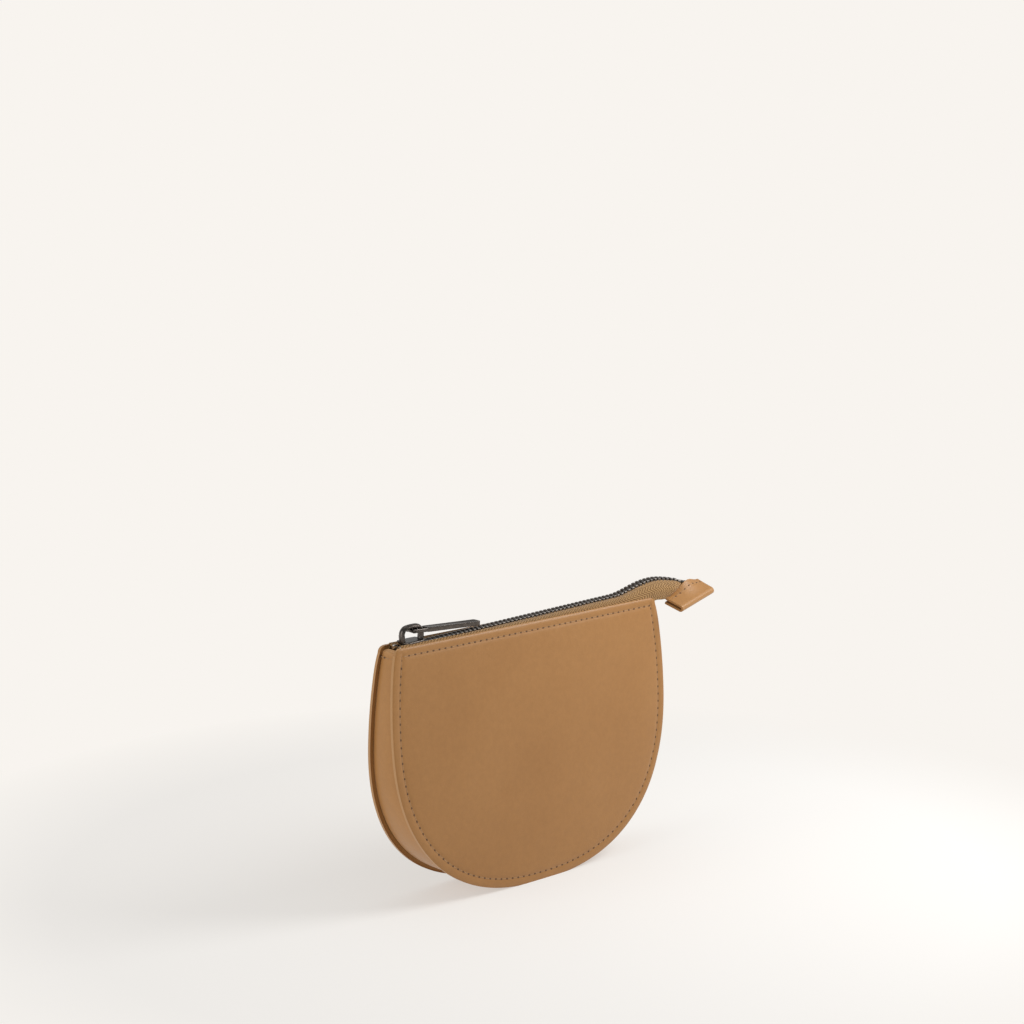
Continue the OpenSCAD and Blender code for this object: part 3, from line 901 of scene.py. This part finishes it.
def makeTape(name, side):
    sections = [np.array(section).ravel() for section in tapeSections(side)]
    last = len(sections) - 1
    along = [0.0]
    steps = np.linspace(0, last, tapeForm["samples"])
    dense = [smoothRow(sections, t)[6:9] for t in steps]
    for a, b in zip(dense, dense[1:]):
        along.append(along[-1] + float(np.linalg.norm(b - a)))

    def place(a, b):
        t = float(np.interp(b * along[-1], along, steps))
        section = smoothRow(sections, t).reshape(-1, 3)
        return smoothRow(section, a * (len(section) - 1))

    obj = gridPiece(name, tapeForm["across"], tapeForm["along"], place)
    for entry in obj.data.uv_layers.active.data:
        entry.uv = (entry.uv[1] * along[-1], entry.uv[0] * tapeForm["width"])
    outside = [f for f in obj.data.polygons if abs(f.center.x) < 0.03 and f.center.z < 0.110]
    if sum(f.normal.y for f in outside) * side < 0:
        obj.data.flip_normals()
    useModifier(obj, "cloth", "SOLIDIFY", thickness=tapeForm["thick"] * mm, offset=0)
    smoothOver(obj, 60)
    coat(obj, tapeCloth)
    return obj


# the blended pieces bend over a short length of the chain, where the free tail starts
for side, word in ((-1, "front"), (1, "back")):
    tape = makeTape(word + "ZipTape", side)
    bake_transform(tape)
    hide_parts(word + "_zip_tape", "tail_tape_" + word)
print("tape ready")

# teeth
tooth = {
    "start": 1.6, "endRoom": 3.0, "length": 1.5, "jaw": 1.75, "height": 2.0, "neck": 0.45,
    "reach": 0.72, "bevel": 0.16, "openFrom": -62.2, "openSlope": 0.26, "openMost": 1.25,
}


def makeTooth():
    deselectAll()
    bpy.ops.mesh.primitive_cube_add(size=1, location=(0, 0, 0))
    obj = bpy.context.object
    obj.data.transform(shift(0, tooth["jaw"] / 2 - chain["halfWidth"], 0)
        @ sized((tooth["length"], tooth["jaw"], tooth["height"])))
    openOn(obj, "FACE", lambda face: face.normal.y > 0.9)
    bpy.ops.mesh.extrude_region_move(TRANSFORM_OT_translate={"value": (0, tooth["neck"] * mm, 0)})
    bpy.ops.transform.resize(value=(0.95, 1, 0.62), center_override=(0, 0, 0))
    bpy.ops.mesh.extrude_region_move(TRANSFORM_OT_translate={"value": (0, tooth["reach"] * mm, 0)})
    bpy.ops.transform.resize(value=(0.8, 1, 0.85), center_override=(0, 0, 0))
    bpy.ops.object.mode_set(mode="OBJECT")
    useModifier(obj, "soften", "BEVEL", width=tooth["bevel"] * mm, segments=1, limit_method="ANGLE",
        angle_limit=math.radians(30))
    smoothOver(obj, 35)
    coat(obj, gunmetal)
    return obj


toothUnit = makeTooth()


def chainLengths():
    samples = [smoothRow(chainPath, t) for t in np.linspace(0, len(chainPath) - 1, 900)]
    steps = [np.linalg.norm(b - a) for a, b in zip(samples, samples[1:])]
    return np.concatenate([[0], np.cumsum(steps)])


def chainFrame(distance, lengths):
    last = len(chainPath) - 1
    t = float(np.interp(distance, lengths, np.linspace(0, last, len(lengths))))
    here = smoothRow(chainPath, t)
    ahead = smoothRow(chainPath, min(t + 0.02, last - 0.001)) - smoothRow(chainPath, max(t - 0.02, 0))
    x = Vector(ahead).normalized()
    y = Vector((0, 0, 1)).cross(x).normalized()
    z = x.cross(y)
    return shift(*here) @ Matrix((x, y, z)).transposed().to_4x4(), here[0]


def teethRows():
    lengths = chainLengths()
    rows = {-1: [], 1: []}
    distance = tooth["start"]
    index = 0
    while distance < lengths[-1] - tooth["endRoom"]:
        side = -1 if index % 2 == 0 else 1
        turn, x = chainFrame(distance, lengths)
        apart = min(max((tooth["openFrom"] - x) * tooth["openSlope"], 0), tooth["openMost"])
        flip = Matrix.Identity(4) if side < 0 else Matrix.Rotation(math.pi, 4, "Z")
        rows[side].append(copyTo(toothUnit, turn @ shift(0, side * apart, 0) @ flip))
        distance += chain["pitch"] / 2
        index += 1
    return rows


rows = teethRows()
for side, word in ((-1, "front"), (1, "back")):
    row = joinAll(rows[side], word + "ZipTeeth")
    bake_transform(row)
    if side < 0:
        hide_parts("front_teeth", "tail_teeth")
    else:
        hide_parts("back_teeth")
print("teeth ready")

# top and bottom stops
stop = {"size": (1.9, 1.7, 2.3), "place": (-70.6, 2.35, 112.2), "bottomSize": (2.0, 3.8, 1.8),
    "fromEnd": 1.2, "bevel": 0.4}


def makeStops():
    x, y, z = stop["place"]
    parts = [makeBox(stop["size"], (x, side * y, z), stop["bevel"]) for side in (-1, 1)]
    obj = joinAll(parts, "topStops")
    smoothOver(obj, 60)
    coat(obj, brightMetal)
    return obj


def makeBottomStop():
    # clamped across both rows at the chain's end, in the mouth of the tab
    lengths = chainLengths()
    part = makeBox(stop["bottomSize"], (0, 0, 0), stop["bevel"])
    part.name = "bottomStop"
    part.data.transform(chainFrame(lengths[-1] - stop["fromEnd"], lengths)[0])
    smoothOver(part, 60)
    coat(part, gunmetal)
    return part


bottomStop = makeBottomStop()
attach(bottomStop, "tail")
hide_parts("bottom_stop")
topStops = makeStops()
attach(topStops, "pouch")
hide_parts("top_stops")

# slider
slider = {
    "place": -63.0, "length": 11.0, "width": 8.0, "plate": 1.0, "low": 1.3, "railBevel": 0.2,
    "railSize": (7.0, 0.8, 0.95), "railPlace": (1.2, 3.35, 0.95), "post": 0.6, "postPlace": -4.4,
    "bailLength": 12.2, "bailHeight": 6.9, "bailBar": 1.95, "bailWidth": 3.1, "bailBend": 3.0,
}
chainTurn = Matrix.Rotation(-math.radians(chain["tilt"]), 4, "Y")
sliderPlace = shift(0, 0, chain["height"]) @ chainTurn @ shift(slider["place"], 0, 0)


def makePlate(level):
    half, mouth = slider["length"] / 2, slider["width"] / 2
    deselectAll()
    bpy.ops.mesh.primitive_grid_add(x_subdivisions=8, y_subdivisions=4, size=2, location=(0, 0, 0))
    part = bpy.context.object
    for vert in part.data.vertices:
        u, v = vert.co.x, vert.co.y
        width = mouth * (1.0 if u < 0 else 1 - 0.14 * u ** 2)
        reach = half * (1 - 0.16 * v * v)
        vert.co = Vector((u * reach, v * width, 0)) * mm
    pick(part)
    bpy.ops.object.mode_set(mode="EDIT")
    bpy.ops.mesh.select_all(action="SELECT")
    bpy.ops.mesh.extrude_region_move(TRANSFORM_OT_translate={"value": (0, 0, slider["plate"] * mm)})
    bpy.ops.object.mode_set(mode="OBJECT")
    part.data.transform(shift(0, 0, level))
    outward(part)
    useModifier(part, "soften", "BEVEL", width=0.28 * mm, segments=3, limit_method="ANGLE",
        angle_limit=math.radians(40))
    return part


def makeSliderBody():
    rise = slider["low"]
    parts = [makePlate(rise), makePlate(-rise - slider["plate"])]
    for side in (-1, 1):
        for up in (-1, 1):
            x, y, z = slider["railPlace"]
            parts.append(makeBox(slider["railSize"], (x, side * y, up * z), slider["railBevel"]))
    post = makeRod(20, slider["post"], 2 * rise)
    post.data.transform(shift(slider["postPlace"], 0, 0))
    parts.append(post)
    body = joinAll(parts, "sliderBody")
    body.data.transform(sliderPlace)
    smoothOver(body, 40)
    coat(body, gunmetal)
    return body


def makeBail():
    # a round bar bent into an arch on two straight legs, and wider than it is thick
    half = slider["bailLength"] / 2 - slider["bailBar"] / 2
    rise = slider["bailHeight"] - slider["bailBar"] / 2
    base = slider["low"] + slider["plate"] - 0.3
    bend = slider["bailBend"]
    line = [(-half + 0.35, 0), (-half + 0.1, 1.2), (-half, rise - bend - 0.4), (-half, rise - bend)]
    line += [(-half + bend - bend * math.cos(a), rise - bend + bend * math.sin(a))
             for a in np.linspace(0.2, math.pi / 2, 8)]
    line += [(x, rise + 0.12 * (1 - (x / (half - bend)) ** 2))
             for x in np.linspace(-(half - bend) + 0.5, (half - bend) - 0.5, 5)]
    line += [(half - bend + bend * math.sin(a), rise - bend + bend * math.cos(a))
             for a in np.linspace(0, math.pi / 2 - 0.2, 8)]
    line += [(half, rise - bend), (half, rise - bend - 0.4), (half - 0.1, 1.2), (half - 0.35, 0)]
    deselectAll()
    bpy.ops.mesh.primitive_cylinder_add(vertices=14, radius=1, depth=2, location=(0, 0, 0))
    part = bpy.context.object
    bpy.ops.object.mode_set(mode="EDIT")
    bpy.ops.mesh.select_all(action="SELECT")
    bpy.ops.mesh.select_mode(type="EDGE")
    bpy.ops.object.mode_set(mode="OBJECT")
    for edge in part.data.edges:
        a, b = (part.data.vertices[i].co for i in edge.vertices)
        edge.select = abs(a.z - b.z) > 1
    bpy.ops.object.mode_set(mode="EDIT")
    bpy.ops.mesh.subdivide(number_cuts=len(line) * 2 - 1)
    bpy.ops.object.mode_set(mode="OBJECT")
    last = len(line) - 1
    for vert in part.data.vertices:
        t = (vert.co.z + 1) / 2 * last
        centre = smoothRow(line, t)
        ahead = smoothRow(line, min(t + 0.05, last)) - smoothRow(line, max(t - 0.05, 0))
        way = ahead / np.linalg.norm(ahead)
        flat = 1.0 if 3 < t < last - 3 else 1.12
        radial = vert.co.x * slider["bailBar"] / 2
        vert.co = Vector((centre[0] - way[1] * radial, vert.co.y * slider["bailWidth"] / 2 * flat,
            base + centre[1] + way[0] * radial)) * mm
    part.name = "sliderBail"
    outward(part)
    part.data.transform(sliderPlace)
    smoothOver(part, 60)
    coat(part, gunmetal)
    return part


sliderBody = makeSliderBody()
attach(sliderBody, "slider")
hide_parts("slider_body")
sliderBail = makeBail()
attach(sliderBail, "slider")
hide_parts("slider_bail")
print("slider ready")

# pull
pull = {
    "pivot": 6.2, "length": 37.0, "width": 4.6, "thick": 2.0, "eye": 7.2, "fall": 3.2, "pin": 0.8,
    "arm": 0.95, "armHeight": 1.6, "eyeWidth": 5.2, "round": 1.1, "border": 0.55, "sunk": 0.12,
}
pullPlace = (shift(0, 0, chain["height"]) @ chainTurn @ shift(slider["place"], 0, pull["pivot"])
    @ Matrix.Rotation(math.radians(chain["tilt"] + pull["fall"]), 4, "Y"))


def makePullEye():
    pin = makeRod(24, pull["pin"], pull["eyeWidth"])
    pin.data.transform(Matrix.Rotation(math.pi / 2, 4, "X"))
    useModifier(pin, "soften", "BEVEL", width=0.2 * mm, segments=2, limit_method="ANGLE")
    parts = [pin]
    for side in (-1, 1):
        reach = pull["eye"] + 1.0
        parts.append(makeBox((reach, pull["arm"], pull["armHeight"]),
            (reach / 2 - 0.7, side * (pull["eyeWidth"] - pull["arm"]) / 2, 0), 0.3))
    eye = joinAll(parts, "pullEye")
    eye.data.transform(pullPlace)
    smoothOver(eye, 45)
    coat(eye, gunmetal)
    return eye


def makePullBar():
    start, end = pull["eye"], pull["length"]
    deselectAll()
    bpy.ops.mesh.primitive_cube_add(size=1, location=(0, 0, 0))
    bar = bpy.context.object
    size = (end - start, pull["width"], pull["thick"])
    bar.data.transform(shift((start + end) / 2, 0, 0) @ sized(size))

    def upright(edge):
        a, b = (bar.data.vertices[i].co for i in edge.vertices)
        return abs(a.z - b.z) > 0.5 * mm

    openOn(bar, "EDGE", upright)
    bpy.ops.mesh.bevel(offset=pull["round"] * mm, segments=5, affect="EDGES")
    openOn(bar, "FACE", lambda face: face.normal.z > 0.9)
    bpy.ops.mesh.inset(thickness=pull["border"] * mm, depth=0.0)
    bpy.ops.mesh.inset(thickness=0.15 * mm, depth=-pull["sunk"] * mm)
    bpy.ops.object.mode_set(mode="OBJECT")
    useModifier(bar, "soften", "BEVEL", width=0.22 * mm, segments=2, limit_method="ANGLE",
        angle_limit=math.radians(50))
    bar.name = "pullBar"
    bar.data.transform(pullPlace)
    smoothOver(bar, 40)
    coat(bar, gunmetal)
    return bar


pullEye = makePullEye()
pullBar = makePullBar()
for obj, node in ((pullEye, "pull_eye"), (pullBar, "pull_bar")):
    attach(obj, "pull")
    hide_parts(node)
print("pull ready")

# end tab
def makeTab():
    def place(a, b):
        w = 2 * b - 1    # -1 lower mouth, 0 fold, 1 upper mouth
        bend = tab["foldShare"]
        if abs(w) > bend:
            v = 1 - (abs(w) - bend) / (1 - bend)
            return tabSurface(a, v, math.copysign(1, w))[0]
        turn = w / bend * math.pi / 2
        top, out = tabSurface(a, 1.0, 1)
        low = tabSurface(a, 1.0, -1)[0]
        centre = (top + low) / 2
        half = np.linalg.norm(top - low) / 2
        ahead = np.array(tab["frontEnd"]) - np.array(tab["frontMouth"])
        ahead /= np.linalg.norm(ahead)
        return centre + out * half * math.sin(turn) + ahead * half * math.cos(turn)

    obj = gridPiece("endTab", tab["across"], tab["along"], place)
    upper = [f for f in obj.data.polygons if f.center.z > 0.1135]
    if sum(f.normal.z for f in upper) < 0:
        obj.data.flip_normals()
    useModifier(obj, "wall", "SOLIDIFY", thickness=tab["leather"] * mm, offset=0)
    useModifier(obj, "roundEdge", "BEVEL", width=0.22 * mm, segments=2, limit_method="ANGLE",
        angle_limit=math.radians(70))
    smoothOver(obj, 50)
    coat(obj, leather)
    return obj


endTab = makeTab()
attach(endTab, "tail")
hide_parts("end_tab")


def tabRow():
    places = []
    for u in np.linspace(0.12, 0.88, tab["stitches"]):
        for layer in (1, -1):
            point, out = tabSurface(u, tab["stitchAt"], layer)
            ahead = tabSurface(u + 0.02, tab["stitchAt"], layer)[0]
            normal = out * layer
            places.append((point + normal * (tab["leather"] / 2 + 0.03), ahead - point, normal))
    return sewRow("endTabStitching", places)


tabStitching = tabRow()
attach(tabStitching, "tail")
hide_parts("end_tab_stitching")
bpy.data.objects.remove(stitchUnit)
bpy.data.objects.remove(toothUnit)
print("tab ready")

# floor, light, camera
studio = {
    "paper": (0.939, 0.905, 0.863), "near": (0.88, 0.872, 0.858), "sky": 0.46, "key": 1.5,
    "fill": 1.3, "left": 4.2, "fadeFrom": 0.10, "fadeOver": 0.20, "paperLeast": 0.52,
    "lens": 84.375, "sensor": 36.0, "eye": (-0.6911, -0.7411, 0.3412), "down": 0.17622,
    "turn": -0.74598,
}


def makeFloor():
    deselectAll()
    bpy.ops.mesh.primitive_plane_add(size=12, location=(0, 0, 0))
    floor = bpy.context.object
    floor.name = "floor"
    mat, tree, shader, coords = startMaterial("palePaper")
    shader.inputs["Base Color"].default_value = (*studio["near"], 1)
    shader.inputs["Roughness"].default_value = 0.9
    shader.inputs["Specular IOR Level"].default_value = 0.1
    glow = tree.nodes.new("ShaderNodeEmission")
    glow.inputs["Color"].default_value = (*studio["paper"], 1)
    length = tree.nodes.new("ShaderNodeVectorMath")
    length.operation = "LENGTH"
    wire(tree, coords.outputs["Object"], length.inputs[0])
    past = mathNode(tree, "SUBTRACT", length.outputs["Value"], studio["fadeFrom"])
    far = mathNode(tree, "DIVIDE", past, studio["fadeOver"], True)
    far = mathNode(tree, "MAXIMUM", far, studio["paperLeast"])
    blend = tree.nodes.new("ShaderNodeMixShader")
    end = next(n for n in tree.nodes if n.type == "OUTPUT_MATERIAL")
    wire(tree, far, blend.inputs[0])
    wire(tree, shader.outputs[0], blend.inputs[1])
    wire(tree, glow.outputs[0], blend.inputs[2])
    wire(tree, blend.outputs[0], end.inputs["Surface"])
    floor.data.materials.append(mat)


def makeLight(name, place, size, power, aim=(0, 0, 0.06)):
    data = bpy.data.lights.new(name, "AREA")
    data.shape = "DISK"
    data.size = size
    data.energy = power
    lamp = bpy.data.objects.new(name, data)
    lamp.location = place
    lamp.rotation_euler = (Vector(aim) - Vector(place)).to_track_quat("-Z", "Y").to_euler()
    bpy.context.collection.objects.link(lamp)


def makeWorld():
    world = bpy.data.worlds.new("studioSky")
    bpy.context.scene.world = world
    world.use_nodes = True
    tree = world.node_tree
    back = tree.nodes["Background"]
    back.inputs["Color"].default_value = (1.0, 0.99, 0.97, 1)
    back.inputs["Strength"].default_value = studio["sky"]
    seen = tree.nodes.new("ShaderNodeBackground")
    seen.inputs["Color"].default_value = (*studio["paper"], 1)
    seen.inputs["Strength"].default_value = 1.0
    ray = tree.nodes.new("ShaderNodeLightPath")
    blend = tree.nodes.new("ShaderNodeMixShader")
    wire(tree, ray.outputs["Is Camera Ray"], blend.inputs[0])
    wire(tree, back.outputs[0], blend.inputs[1])
    wire(tree, seen.outputs[0], blend.inputs[2])
    wire(tree, blend.outputs[0], tree.nodes["World Output"].inputs["Surface"])


makeFloor()
makeWorld()
makeLight("keyLight", (0.27, -0.22, 0.36), 0.26, studio["key"], (0.06, 0, 0.07))
makeLight("topLight", (0.05, 0.15, 1.3), 1.1, studio["fill"])
makeLight("leftFill", (-1.1, 0.15, 0.45), 0.9, studio["left"])

camData = bpy.data.cameras.new("camera")
camData.lens = studio["lens"]
camData.sensor_width = studio["sensor"]
camera = bpy.data.objects.new("camera", camData)
camera.location = studio["eye"]
camera.rotation_euler = (math.pi / 2 - studio["down"], 0, studio["turn"])
bpy.context.collection.objects.link(camera)
bpy.context.scene.camera = camera
bpy.context.scene.view_settings.view_transform = "Standard"
print("studio ready")
